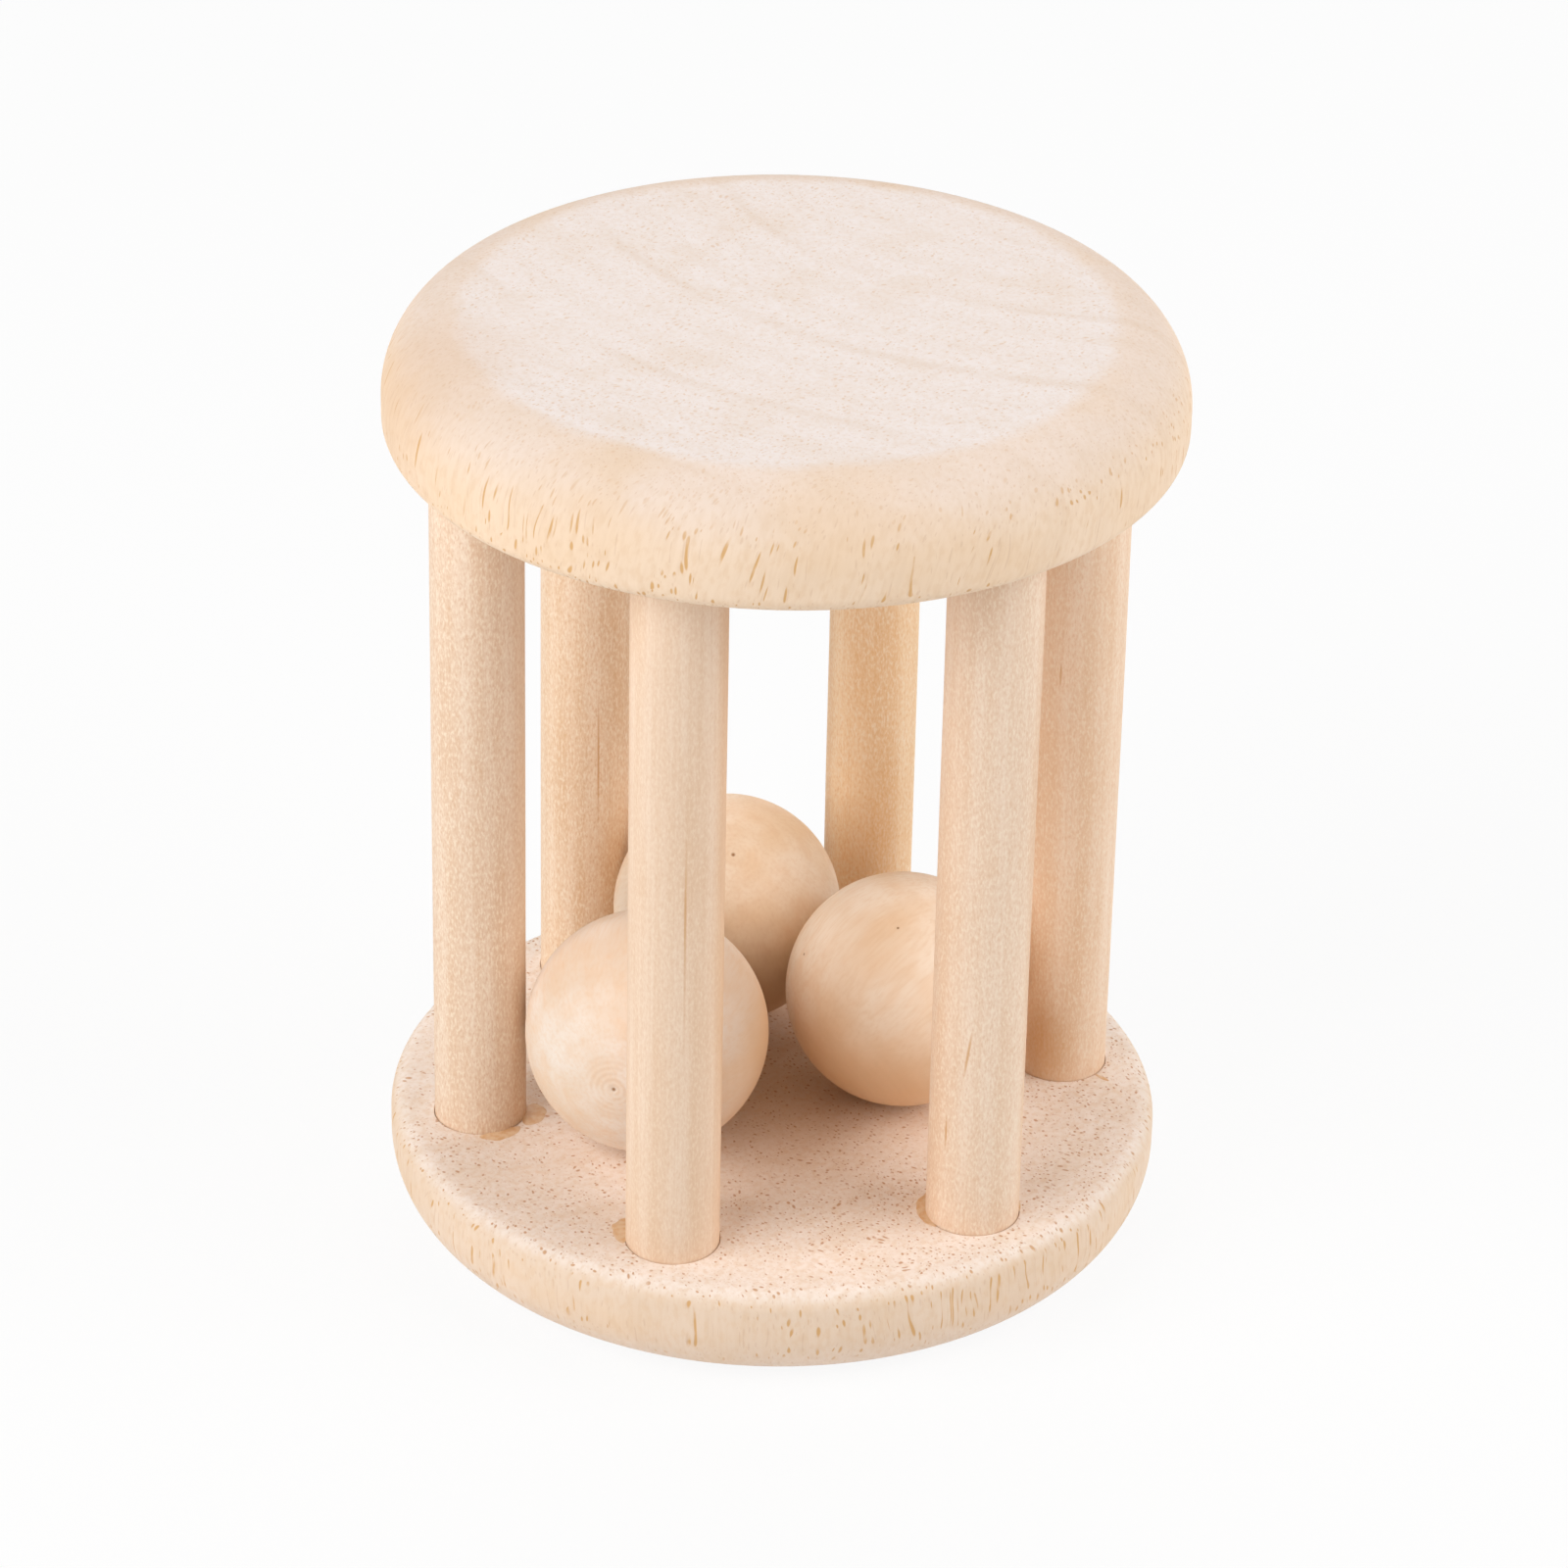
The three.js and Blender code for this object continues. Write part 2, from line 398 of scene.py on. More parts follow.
def disc_parts(tree, outward, blotch):
    """How far a place looks outwards, its shares of inner and of sanded face, and how well pores show."""
    facing = add(tree, "ShaderNodeTexCoord", output="Normal")
    outness = add(tree, "ShaderNodeVectorMath", {0: facing, 1: outward}, "Value", operation="DOT_PRODUCT")
    inwards = {"Value": outness, "From Min": -0.99, "From Max": -0.35, "To Min": 1.0, "To Max": 0.0}
    inner = add(tree, inputs=inwards, **SMOOTH_STEP)
    outer = add(tree, inputs={"Value": outness, "From Min": 0.5, "From Max": 0.9}, **SMOOTH_STEP)
    spot = add(tree, "ShaderNodeTexCoord", output="Object")
    level = add(tree, inputs={0: spot, 1: (1 / MM, 1 / MM, 0)}, **STRETCH)
    reach = add(tree, inputs={0: level}, **LENGTH)
    ragged = add(tree, "ShaderNodeMath", {0: blotch, 1: SANDED_RAGGED, 2: reach}, operation="MULTIPLY_ADD")
    edge = {"Value": ragged, "From Min": SANDED_REACH, "From Max": SANDED_REACH + SANDED_FADE}
    face = add(tree, inputs={**edge, "To Min": 1.0, "To Max": 0.0}, **SMOOTH_STEP)
    sanded = add(tree, inputs={0: face, 1: outer}, **TIMES)
    filled = {"Value": outness, "From Min": 0.25, "From Max": 0.75, "To Min": 0.95, "To Max": 0.25}
    shown = add(tree, inputs=filled, **SMOOTH_STEP)
    return outness, inner, sanded, shown


print("sanded faces fade out from", SANDED_REACH, "mm on")

# %% [markdown]
# The bare tones come first: one for the rim, one for the inner face, and a pale one for the sanded face. A
# few warm stains lie on the rim, and faint growth lines cross the disc, stronger in one place and lost in
# another. Each step mixes one more colour into the tone before it, so every mark is easy to change.

# %% Tones and years of growth


def disc_tones(tree, space, outness, inner, sanded, rim_tone, inner_tone):
    """The bare colours of a disc, with warm stains on its rim."""
    stain = fibres(tree, space, width=13, length=9, detail=3.0)
    stained = {"Value": stain, "From Min": 0.45, "From Max": 0.75, "To Max": 0.4}
    warmth = add(tree, inputs=stained, **SMOOTH_STEP)
    high = add(tree, inputs={"Value": outness, "From Min": 0.1, "From Max": 0.95}, **SMOOTH_STEP)
    turned_edge = {"Factor": high, "A": paint(rim_tone), "B": paint("#F5E1D2")}
    edge_tone = add(tree, inputs=turned_edge, **COLOUR_MIX)
    rim = add(tree, inputs={"Factor": warmth, "A": edge_tone, "B": paint("#EFCCA4")}, **COLOUR_MIX)
    ends = add(tree, inputs={"Factor": inner, "A": rim, "B": paint(inner_tone)}, **COLOUR_MIX)
    return add(tree, inputs={"Factor": sanded, "A": ends, "B": paint("#F8ECE6")}, **COLOUR_MIX)


def disc_years(tree, space, drift, first_line, tone):
    """A tone with faint growth lines on it, and with closer, weaker bands."""
    lines = growth_lines(tree, space, first_line, spacing=14.6, soft=1.1, waver=1.6)
    drifting = {"Value": drift, "From Min": 0.35, "From Max": 0.65, "To Max": 0.17}
    patchy = add(tree, inputs=drifting, **SMOOTH_STEP)
    faint = add(tree, inputs={0: lines, 1: patchy}, **TIMES)
    ringed = add(tree, inputs={"Factor": faint, "A": tone, "B": paint("#DDBB98")}, **COLOUR_MIX)
    bands = growth_lines(tree, space, first_line, spacing=5.1, soft=2.4, waver=2.0)
    weak = add(tree, inputs={"Value": bands, "To Max": 0.07}, **SMOOTH_STEP)
    return add(tree, inputs={"Factor": weak, "A": ringed, "B": paint("#E3C8AC")}, **COLOUR_MIX)


print("disc wood: tones and years")

# %% [markdown]
# Fibres and a fine mottle then break up the tone, the fibres a little more on the inner face, and the
# mottle hardly at all on the sanded one. Soft warm areas in the middle of the inner faces and on one
# side of the upper rim are painted shade, which deepens the shade there. Clouds a few millimetres wide
# lie over everything.

# %% Fibres, mottle and painted shade
UPRIGHT = Vector((0, 0, 1))


def disc_grain(tree, space, fine, inner, shown, tone):
    """A tone with fibres and a fine mottle on it."""
    thread = add(tree, inputs={"Value": fine, "From Min": 0.4, "From Max": 0.68}, **SMOOTH_STEP)
    grainy = add(tree, "ShaderNodeMapRange", {"Value": inner, "To Min": 0.16, "To Max": 0.2})
    threads = add(tree, inputs={0: thread, 1: grainy}, **TIMES)
    grained = add(tree, inputs={"Factor": threads, "A": tone, "B": paint("#DFBC96")}, **COLOUR_MIX)
    mottle = fibres(tree, space, width=0.7, length=1.3, detail=4.0)
    spotty = {"Value": mottle, "From Min": 0.45, "From Max": 0.68, "To Max": 0.3}
    spots = add(tree, inputs=spotty, **SMOOTH_STEP)
    spotted = add(tree, inputs={0: spots, 1: shown}, **TIMES)
    return add(tree, inputs={"Factor": spotted, "A": grained, "B": paint("#E4BE94")}, **COLOUR_MIX)


def disc_painted_shade_and_clouds(tree, blotch, painted_shade_patches, tone):
    """A tone with painted shade, in warm marks each of a place, width, height and strength, and with soft
    clouds.
    """
    # Each of these warm marks is painted shade, which deepens the shade where it lies.
    for place, width, height, strength in painted_shade_patches:
        patch = long_mark(tree, place, UPRIGHT, width, height)
        share = add(tree, inputs={0: patch, 1: strength}, **TIMES)
        tone = add(tree, inputs={"Factor": share, "A": tone, "B": paint("#E2B78C")}, **COLOUR_MIX)
    cloudy = {"Value": blotch, "From Min": 0.45, "From Max": 0.75, "To Max": 0.18}
    cloud = add(tree, inputs=cloudy, **SMOOTH_STEP)
    return add(tree, inputs={"Factor": cloud, "A": tone, "B": paint("#E6C8A6")}, **COLOUR_MIX)


print("disc wood: fibres, mottle and patches")

# %% [markdown]
# The pores of this wood are wide enough to see without a lens. They come in drifts and crowd together in
# one region, and finer ones lie everywhere between them.

# %% Pores of a disc
# Sizes are in millimetres. Most pores of this wood are thinner than the wide ones here, which are drawn as
# coarse as they need to be to show.
PORE_WIDTH = 0.34
PORE_SPACING = 0.6
FINE_PORE_WIDTH = 0.2
FINE_PORE_SPACING = 0.42
FINE_PORE_SHARE = 0.5
CROWDED_WIDTH = 70
CROWDED_MORE = 0.3  # the share of pores that is added where they crowd


def disc_pores(tree, space, drift, crowded):
    """Where the wide pores of a disc are, and where its fine ones are."""
    swayed = wandering(tree, space)
    near = long_mark(tree, crowded, UPRIGHT, CROWDED_WIDTH, CROWDED_WIDTH)
    scarce = {"Value": drift, "From Min": 0.3, "From Max": 0.7, "To Min": 0.2, "To Max": 0.56}
    loose = add(tree, inputs=scarce, **SMOOTH_STEP)
    crowding = add(tree, "ShaderNodeMath", {0: near, 1: CROWDED_MORE, 2: loose}, operation="MULTIPLY_ADD")
    wide = pores(tree, swayed, PORE_SPACING, PORE_WIDTH, crowding)
    small = pores(tree, swayed, FINE_PORE_SPACING, FINE_PORE_WIDTH, FINE_PORE_SHARE)
    return wide, small


print("disc wood: pores", PORE_WIDTH, "and", FINE_PORE_WIDTH, "mm wide")

# %% [markdown]
# The last step puts the wood together. A pore isn't open all along its way, so its dashes are broken.
# Pores are orange-brown on the rim and a duller brown on the inner face, and dust hides most of them on
# the sanded face. The surface is matt, and the fibres and pores give it a slight relief.

# %% Cross-cut rubberwood
SANDED_SHOWS = 0.12  # how much more the pores show inside the sanded face
WOOD_IOR = 1.5


def cross_cut_rubberwood(name, pith, lean, outward, first_line, crowded, rim_tone, inner_tone, painted_shade_patches):
    """End grain on the faces and dashes on the rim. `outward` is the way that the outer face looks, and the
    pores are most crowded near the place `crowded`."""
    material, tree = new_material(name)
    space = grain_space(tree, pith, lean, Vector((pith.x, pith.y, 0)))
    blotch = fibres(tree, space, width=7, length=7, detail=3.0)
    drift = fibres(tree, space, width=16, length=40)
    fine = fibres(tree, space, width=0.5, length=10.0, detail=5.0)
    outness, inner, sanded, shown = disc_parts(tree, outward, blotch)

    plain = disc_tones(tree, space, outness, inner, sanded, rim_tone, inner_tone)
    banded = disc_years(tree, space, drift, first_line, plain)
    grained = disc_grain(tree, space, fine, inner, shown, banded)
    clouded = disc_painted_shade_and_clouds(tree, blotch, painted_shade_patches, grained)

    tubes, small_tubes = disc_pores(tree, space, drift, crowded)
    open_face = add(tree, inputs={"Value": inner, "To Min": 0.22, "To Max": 0.34}, **SMOOTH_STEP)
    shallow = add(tree, inputs={0: small_tubes, 1: open_face}, **TIMES)
    speckled = add(tree, inputs={"Factor": shallow, "A": clouded, "B": paint("#CDA078")}, **COLOUR_MIX)
    broken = fibres(tree, space, width=1.2, length=3.4)
    open_part = add(tree, inputs={"Value": broken, "From Min": 0.32, "From Max": 0.5}, **SMOOTH_STEP)
    open_tubes = add(tree, inputs={0: tubes, 1: open_part}, **TIMES)
    dusty = add(tree, "ShaderNodeMath", {0: sanded, 1: SANDED_SHOWS, 2: shown}, operation="MULTIPLY_ADD")
    deep = add(tree, inputs={0: open_tubes, 1: dusty}, **TIMES)
    brown = add(tree, inputs={"Factor": inner, "A": paint("#DAA96D"), "B": paint("#CFA07A")}, **COLOUR_MIX)
    pitted = add(tree, inputs={"Factor": deep, "A": speckled, "B": brown}, **COLOUR_MIX)

    matt = {"Value": fine, "From Min": 0.2, "From Max": 0.8, "To Min": 0.6, "To Max": 0.74}
    roughness = add(tree, inputs=matt, **SMOOTH_STEP)
    relief = add(tree, "ShaderNodeMath", {0: fine, 1: tubes}, operation="SUBTRACT")
    bump = add(tree, "ShaderNodeBump", {"Height": relief, "Strength": 0.3, "Distance": 0.05 * MM})
    wood = {"Base Color": pitted, "Roughness": roughness, "IOR": WOOD_IOR, "Normal": bump}
    surface = add(tree, "ShaderNodeBsdfPrincipled", wood)
    add(tree, "ShaderNodeOutputMaterial", {"Surface": surface})
    return material


print("disc wood: all steps ready")

# %% Wood for each disc
# The width, height and strength of the painted shade in the middle of an inner face.
INNER_PAINTED_SHADE = (56, 12, 0.42)

top_wood = cross_cut_rubberwood(
    "cross_cut_rubberwood_top",
    pith=Vector((48, 40, 101)) * MM,
    lean=towards(20, 74),
    outward=(0, 0, 1),
    first_line=62.5,
    crowded=Vector((-25, -29, 91)) * MM,
    rim_tone="#F5DBC0",
    # Darker than the lower disc's inner tone: painted shade on the upper disc's downward face and fillet.
    inner_tone="#F3DCC4",
    # Painted shade: a warm mark in the middle of the inner face and one on the left of the rim.
    painted_shade_patches=[
        (Vector((0, 0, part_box("top_disc")[0].z)), *INNER_PAINTED_SHADE),
        (Vector((-37, -3, 97)) * MM, 30, 30, 0.3),
    ],
)
bottom_wood = cross_cut_rubberwood(
    "cross_cut_rubberwood_bottom",
    pith=Vector((-34, 54, 12)) * MM,
    lean=towards(-117, 81),
    outward=(0, 0, -1),
    first_line=60.0,
    crowded=Vector((24, -20, 8)) * MM,
    rim_tone="#F0D8C1",
    inner_tone="#FEF0E5",
    # Painted shade: a warm mark in the middle of the inner face.
    painted_shade_patches=[(Vector((0, 0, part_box("bottom_disc")[1].z)), *INNER_PAINTED_SHADE)],
)
print("materials:", top_wood.name, bottom_wood.name)

# %% [markdown]
# ## The discs
#
# On a lathe, a disc is a profile spun about an axis, and a mesh can be made in the same way: rings of
# corners, one ring for each point of the profile. The sockets for the dowels repeat round a ring, so
# Geometry Nodes drill them: a circle of points, a drill bit on each point, and one Boolean. The drill bit
# is a turned shape as well, with a narrow flange where it meets the face, which leaves a small eased lip
# round each socket.

# %% A lathe for meshes
SMOOTH_ANGLE = math.radians(35)
NARROW = 1e-7  # a narrower ring is a single point


def turned(name, profile, sides):
    """A closed mesh from (radius, height) points that run from its lower end to its upper end."""
    corners = []
    rings = []
    for radius, height in profile:
        count = sides if radius > NARROW else 1
        rings.append(range(len(corners), len(corners) + count))
        for step in range(count):
            angle = 2 * math.pi * step / sides
            corners.append((radius * math.cos(angle), radius * math.sin(angle), height))
    faces = []
    for lower, upper in zip(rings, rings[1:]):
        for step in range(sides):
            follow = (step + 1) % sides
            around = (lower[step % len(lower)], lower[follow % len(lower)])
            around += (upper[follow % len(upper)], upper[step % len(upper)])
            faces.append(tuple(dict.fromkeys(around)))
    faces += [tuple(ring) for ring in rings[-1:] if len(ring) > 1]
    faces += [tuple(reversed(ring)) for ring in rings[:1] if len(ring) > 1]
    mesh = bpy.data.meshes.new(name)
    mesh.from_pydata(corners, [], faces)
    mesh.shade_smooth()
    mesh.set_sharp_from_angle(angle=SMOOTH_ANGLE)
    return mesh


def arc(radius, height, bend, start, end, steps):
    """Points of a profile on an arc of radius `bend` about the point (radius, height), in degrees."""
    angles = [math.radians(start + (end - start) * step / steps) for step in range(steps + 1)]
    return [(radius + bend * math.cos(a), height + bend * math.sin(a)) for a in angles]


print("lathe ready")

# %% Geometry Nodes helpers


def geometry_tree(name, sizes):
    """A new Geometry Nodes tree with a geometry input and these named inputs, and its input sockets."""
    tree = bpy.data.node_groups.new(name, "GeometryNodeTree")
    for label, kind in {"Geometry": "NodeSocketGeometry", **sizes}.items():
        tree.interface.new_socket(label, in_out="INPUT", socket_type=kind)
    tree.interface.new_socket("Geometry", in_out="OUTPUT", socket_type="NodeSocketGeometry")
    return tree, add(tree, "NodeGroupInput").node.outputs


def finish_tree(tree, geometry, material):
    """End a tree in plain geometry with its material."""
    real = add(tree, "GeometryNodeRealizeInstances", {"Geometry": geometry})
    dressed = add(tree, "GeometryNodeSetMaterial", {"Geometry": real, "Material": material})
    add(tree, "NodeGroupOutput", {"Geometry": dressed})


def shaped(name, blank, tree, values):
    """Run a tree on a blank mesh and return an object that holds the result as a plain mesh."""
    piece = bpy.data.objects.new(name, blank)
    bpy.context.scene.collection.objects.link(piece)
    modifier = piece.modifiers.new("shape", "NODES")
    modifier.node_group = tree
    for item in tree.interface.items_tree:
        if item.in_out == "INPUT" and item.name in values:
            modifier[item.identifier] = values[item.name]
    evaluated = piece.evaluated_get(bpy.context.evaluated_depsgraph_get())
    piece.data = bpy.data.meshes.new_from_object(evaluated)
    piece.data.name = name
    piece.data.set_sharp_from_angle(angle=SMOOTH_ANGLE)
    piece.modifiers.clear()
    bpy.data.meshes.remove(blank)
    return piece


print("tree helpers ready")

# %% A tree that drills sockets
disc_low, disc_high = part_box("bottom_disc")
rod_low, rod_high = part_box("right_dowel")
disc_radius = disc_high.x
disc_thickness = disc_high.z - disc_low.z
rod_radius = (rod_high.x - rod_low.x) / 2
ring_radius = (rod_high.x + rod_low.x) / 2
DOWEL_COUNT = 6

drill_tree, drill_in = geometry_tree(
    "drill_ring_of_sockets",
    {
        "Bit": "NodeSocketObject",
        "Count": "NodeSocketInt",
        "Ring radius": "NodeSocketFloat",
        "Face height": "NodeSocketFloat",
        "Material": "NodeSocketMaterial",
    },
)
drill_ring = add(
    drill_tree, "GeometryNodeMeshCircle", {"Vertices": drill_in["Count"], "Radius": drill_in["Ring radius"]}
)
drill_lift = add(drill_tree, "ShaderNodeCombineXYZ", {"Z": drill_in["Face height"]})
drill_points = add(drill_tree, "GeometryNodeSetPosition", {"Geometry": drill_ring, "Offset": drill_lift})
drill_bit = add(drill_tree, "GeometryNodeObjectInfo", {"Object": drill_in["Bit"]}, output="Geometry")
drill_bits = add(drill_tree, "GeometryNodeInstanceOnPoints", {"Points": drill_points, "Instance": drill_bit})
drill_solid = add(drill_tree, "GeometryNodeRealizeInstances", {"Geometry": drill_bits})
drilled = add(
    drill_tree,
    "GeometryNodeMeshBoolean",
    {"Mesh 1": drill_in["Geometry"], "Mesh 2": drill_solid},
    operation="DIFFERENCE",
    solver="EXACT",
)
finish_tree(drill_tree, drilled, drill_in["Material"])
print("ring of sockets:", round(ring_radius / MM, 2), "mm, dowels", round(2 * rod_radius / MM, 2), "mm thick")

# %% [markdown]
# A disc's outer edge has a wide round-over and its inner edge a small fillet. Both arcs meet the flat
# faces smoothly, so a narrow flat ring is kept beside each arc: without it the smooth shading would bleed
# across the whole face. The sockets hold the dowels closely, because dried glue fills what room there is.

# %% A drill bit for the sockets
SOCKET_GAP = 0.06 * MM
SOCKET_LIP = 0.08 * MM
SOCKET_END_GAP = 0.3 * MM
SOCKET_SIDES = 72

socket_radius = rod_radius + SOCKET_GAP
socket_depth = disc_high.z - rod_low.z + SOCKET_END_GAP
bit_profile = [
    (socket_radius, -socket_depth),
    (socket_radius, -SOCKET_LIP),
    (socket_radius + SOCKET_LIP, 0),
    (socket_radius, SOCKET_LIP),
    (socket_radius, socket_depth),
]
bit = bpy.data.objects.new("drill_bit", turned("drill_bit", bit_profile, SOCKET_SIDES))
bpy.context.scene.collection.objects.link(bit)
print("sockets:", round(socket_depth / MM, 2), "mm deep")

# %% Turn and drill the two discs
OUTER_ROUND = 8 * MM
INNER_ROUND = 2 * MM
SHADING_RING = 0.3 * MM
DISC_SIDES = 256


def disc_profile():
    """Half a disc's section, as (radius, height above its outer face)."""
    flat = disc_radius - OUTER_ROUND
    inner_flat = disc_radius - INNER_ROUND
    return [
        (flat - SHADING_RING, 0),
        *arc(flat, OUTER_ROUND, OUTER_ROUND, -90, 0, steps=28),
        *arc(inner_flat, disc_thickness - INNER_ROUND, INNER_ROUND, 0, 90, steps=12),
        (inner_flat - SHADING_RING, disc_thickness),
    ]


def turned_disc(name, node, outer, inner, material):
    """An end disc between the heights of its outer and inner faces, with its sockets drilled."""
    up = 1 if inner > outer else -1
    profile = [(radius, outer + up * height) for radius, height in disc_profile()]
    blank = turned(name + "_blank", profile[::up], DISC_SIDES)
    values = {
        "Bit": bit,
        "Count": DOWEL_COUNT,
        "Ring radius": ring_radius,
        "Face height": inner,
        "Material": material,
    }
    disc = shaped(name, blank, drill_tree, values)
    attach(disc, "cage")
    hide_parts(node)
    print(name, len(disc.data.polygons), "faces")


top_low, top_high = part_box("top_disc")
turned_disc("turned_bottom_disc", "bottom_disc", disc_low.z, disc_high.z, bottom_wood)
turned_disc("turned_top_disc", "top_disc", top_high.z, top_low.z, top_wood)
bpy.data.objects.remove(bit)

# %% [markdown]
# ## Wood of the dowels
#
# The dowels are plain birch rod, drawn through a cutter and sanded along its length. The grain runs along
# the rod, so the eye sees fine straight streaks, a soft mottle that shimmers a little, and here and there
# a thin brown streak. No two rods have quite the same tone, and most have a broad warm mark on one side:
# the right dowel's is a stain at its foot, and the others are painted shade that deepens the shade there.
# A picture wrapped round a rod would show a seam, so the solid patterns are used again, turned along the
# rod.

# %% Sanded birch rod
PITH_FROM_ROD = 26


def birch_rod(name, foot, turn, pale, tan, flecks, streaks):
    """Birch with its grain along a rod that stands on `foot`, with this share of flecks. Each streak, stain
    or mark of painted shade gives its angle round the rod, height, width, length, lean and strength."""
    material, tree = new_material(name)
    pith_way = towards(turn, 0)
    space = grain_space(tree, foot + PITH_FROM_ROD * MM * pith_way, UPRIGHT, pith_way)

    broad = fibres(tree, space, width=5.0, length=30.0)
    side = add(tree, inputs={"Value": broad, "From Min": 0.35, "From Max": 0.7, "To Max": 0.5}, **SMOOTH_STEP)
    toned = add(tree, inputs={"Factor": side, "A": paint(pale), "B": paint(tan)}, **COLOUR_MIX)
    lines = growth_lines(tree, space, PITH_FROM_ROD, spacing=2.1, soft=0.9, waver=2.5)
    faint = add(tree, inputs={"Value": lines, "To Max": 0.22}, **SMOOTH_STEP)
    ringed = add(tree, inputs={"Factor": faint, "A": toned, "B": paint(tan)}, **COLOUR_MIX)
    threads = fibres(tree, space, width=0.32, length=22.0, detail=4.0)
    drawn = {"Value": threads, "From Min": 0.35, "From Max": 0.7, "To Max": 0.28}
    thread = add(tree, inputs=drawn, **SMOOTH_STEP)
    grained = add(tree, inputs={"Factor": thread, "A": ringed, "B": paint(tan)}, **COLOUR_MIX)
    mottle = fibres(tree, space, width=0.2, length=0.5, detail=4.0)
    dark = {"Value": mottle, "From Min": 0.3, "From Max": 0.47, "To Min": flecks, "To Max": 0.0}
    dent = add(tree, inputs=dark, **SMOOTH_STEP)
    dented = add(tree, inputs={"Factor": dent, "A": grained, "B": paint(tan)}, **COLOUR_MIX)
    bright = {"Value": mottle, "From Min": 0.47, "From Max": 0.68, "To Max": flecks}
    fleck = add(tree, inputs=bright, **SMOOTH_STEP)
    flecked = add(tree, inputs={"Factor": fleck, "A": dented, "B": paint("#FAE8D2")}, **COLOUR_MIX)

    # Thin marks are brown streaks of the wood. The broad marks are painted shade, except the stain at the
    # right dowel's foot.
    for angle, height, width, length, lean, strength in streaks:
        around = towards(angle, 0)
        place = foot + rod_radius * around + Vector((0, 0, height * MM))
        leaning = UPRIGHT + math.tan(math.radians(lean)) * UPRIGHT.cross(around)
        mark = long_mark(tree, place, leaning, width, length)
        share = add(tree, inputs={0: mark, 1: strength}, **TIMES)
        flecked = add(tree, inputs={"Factor": share, "A": flecked, "B": paint("#CF9450")}, **COLOUR_MIX)

    matt = {"Value": mottle, "From Min": 0.2, "From Max": 0.8, "To Min": 0.56, "To Max": 0.7}
    roughness = add(tree, inputs=matt, **SMOOTH_STEP)
    relief = add(tree, "ShaderNodeMath", {0: threads, 1: mottle}, operation="ADD")
    bump = add(tree, "ShaderNodeBump", {"Height": relief, "Strength": 0.3, "Distance": 0.04 * MM})
    wood = {"Base Color": flecked, "Roughness": roughness, "IOR": WOOD_IOR, "Normal": bump}
    surface = add(tree, "ShaderNodeBsdfPrincipled", wood)
    add(tree, "ShaderNodeOutputMaterial", {"Surface": surface})
    return material


print("wood: sanded birch rod, pith", PITH_FROM_ROD, "mm from the rod")

# %% [markdown]
# ## The dowels
#
# A dowel is a rod that follows its own axis, so Geometry Nodes sweep a circle along a line. The line is
# the tree's input: a row of points up the middle of the dowel. A taper makes the chamfer at both ends,
# and a little seeded noise takes away the perfect roundness that no drawn rod has.

# %% A tree that sweeps a rod
rod_tree, rod_in = geometry_tree(
    "sweep_rod",
    {
        "Radius": "NodeSocketFloat",
        "Chamfer": "NodeSocketFloat",
        "Sides": "NodeSocketInt",
        "Wobble": "NodeSocketFloat",
        "Wobble size": "NodeSocketFloat",
        "Seed": "NodeSocketFloat",
        "Material": "NodeSocketMaterial",
    },
)
rod_axis = add(rod_tree, "GeometryNodeMeshToCurve", {"Mesh": rod_in["Geometry"]})
rod_along = add(rod_tree, "GeometryNodeSplineParameter", output="Length")
rod_length = add(rod_tree, "GeometryNodeSplineLength", output="Length")
rod_left = add(rod_tree, "ShaderNodeMath", {0: rod_length, 1: rod_along}, operation="SUBTRACT")
rod_to_end = add(rod_tree, "ShaderNodeMath", {0: rod_along, 1: rod_left}, operation="MINIMUM")
rod_cut = add(rod_tree, "ShaderNodeMath", {0: rod_in["Radius"], 1: rod_in["Chamfer"]}, operation="SUBTRACT")
rod_taper = {
    "Value": rod_to_end,
    "From Max": rod_in["Chamfer"],
    "To Min": rod_cut,
    "To Max": rod_in["Radius"],
}
rod_reach = add(rod_tree, "ShaderNodeMapRange", rod_taper)
rod_circle = add(rod_tree, "GeometryNodeCurvePrimitiveCircle", {"Resolution": rod_in["Sides"], "Radius": 1.0})
rod_swept = add(
    rod_tree,
    "GeometryNodeCurveToMesh",
    {"Curve": rod_axis, "Profile Curve": rod_circle, "Scale": rod_reach, "Fill Caps": True},
)
print("rod tree: swept")

# %% Wobble for the rod
NOISE_MIDDLE = 0.5  # noise swings about this value

rod_spot = add(rod_tree, "GeometryNodeInputPosition")
rod_waves = add(
    rod_tree, "ShaderNodeVectorMath", {0: rod_spot, 1: rod_in["Wobble size"]}, operation="DIVIDE"
)
rod_noise = add(
    rod_tree,
    "ShaderNodeTexNoise",
    {"Vector": rod_waves, "W": rod_in["Seed"], "Scale": 1.0, "Detail": 1.0},
    noise_dimensions="4D",
)
rod_swing = add(rod_tree, "ShaderNodeMath", {0: rod_noise, 1: NOISE_MIDDLE}, operation="SUBTRACT")
rod_swell = add(rod_tree, inputs={0: rod_swing, 1: rod_in["Wobble"]}, **TIMES)
rod_normal = add(rod_tree, "GeometryNodeInputNormal")
rod_shift = add(rod_tree, "ShaderNodeVectorMath", {0: rod_normal, "Scale": rod_swell}, operation="SCALE")
rod_worn = add(rod_tree, "GeometryNodeSetPosition", {"Geometry": rod_swept, "Offset": rod_shift})
rod_smooth = add(rod_tree, "GeometryNodeSetShadeSmooth", {"Geometry": rod_worn})
finish_tree(rod_tree, rod_smooth, rod_in["Material"])
print("rod tree:", len(rod_tree.nodes), "nodes")
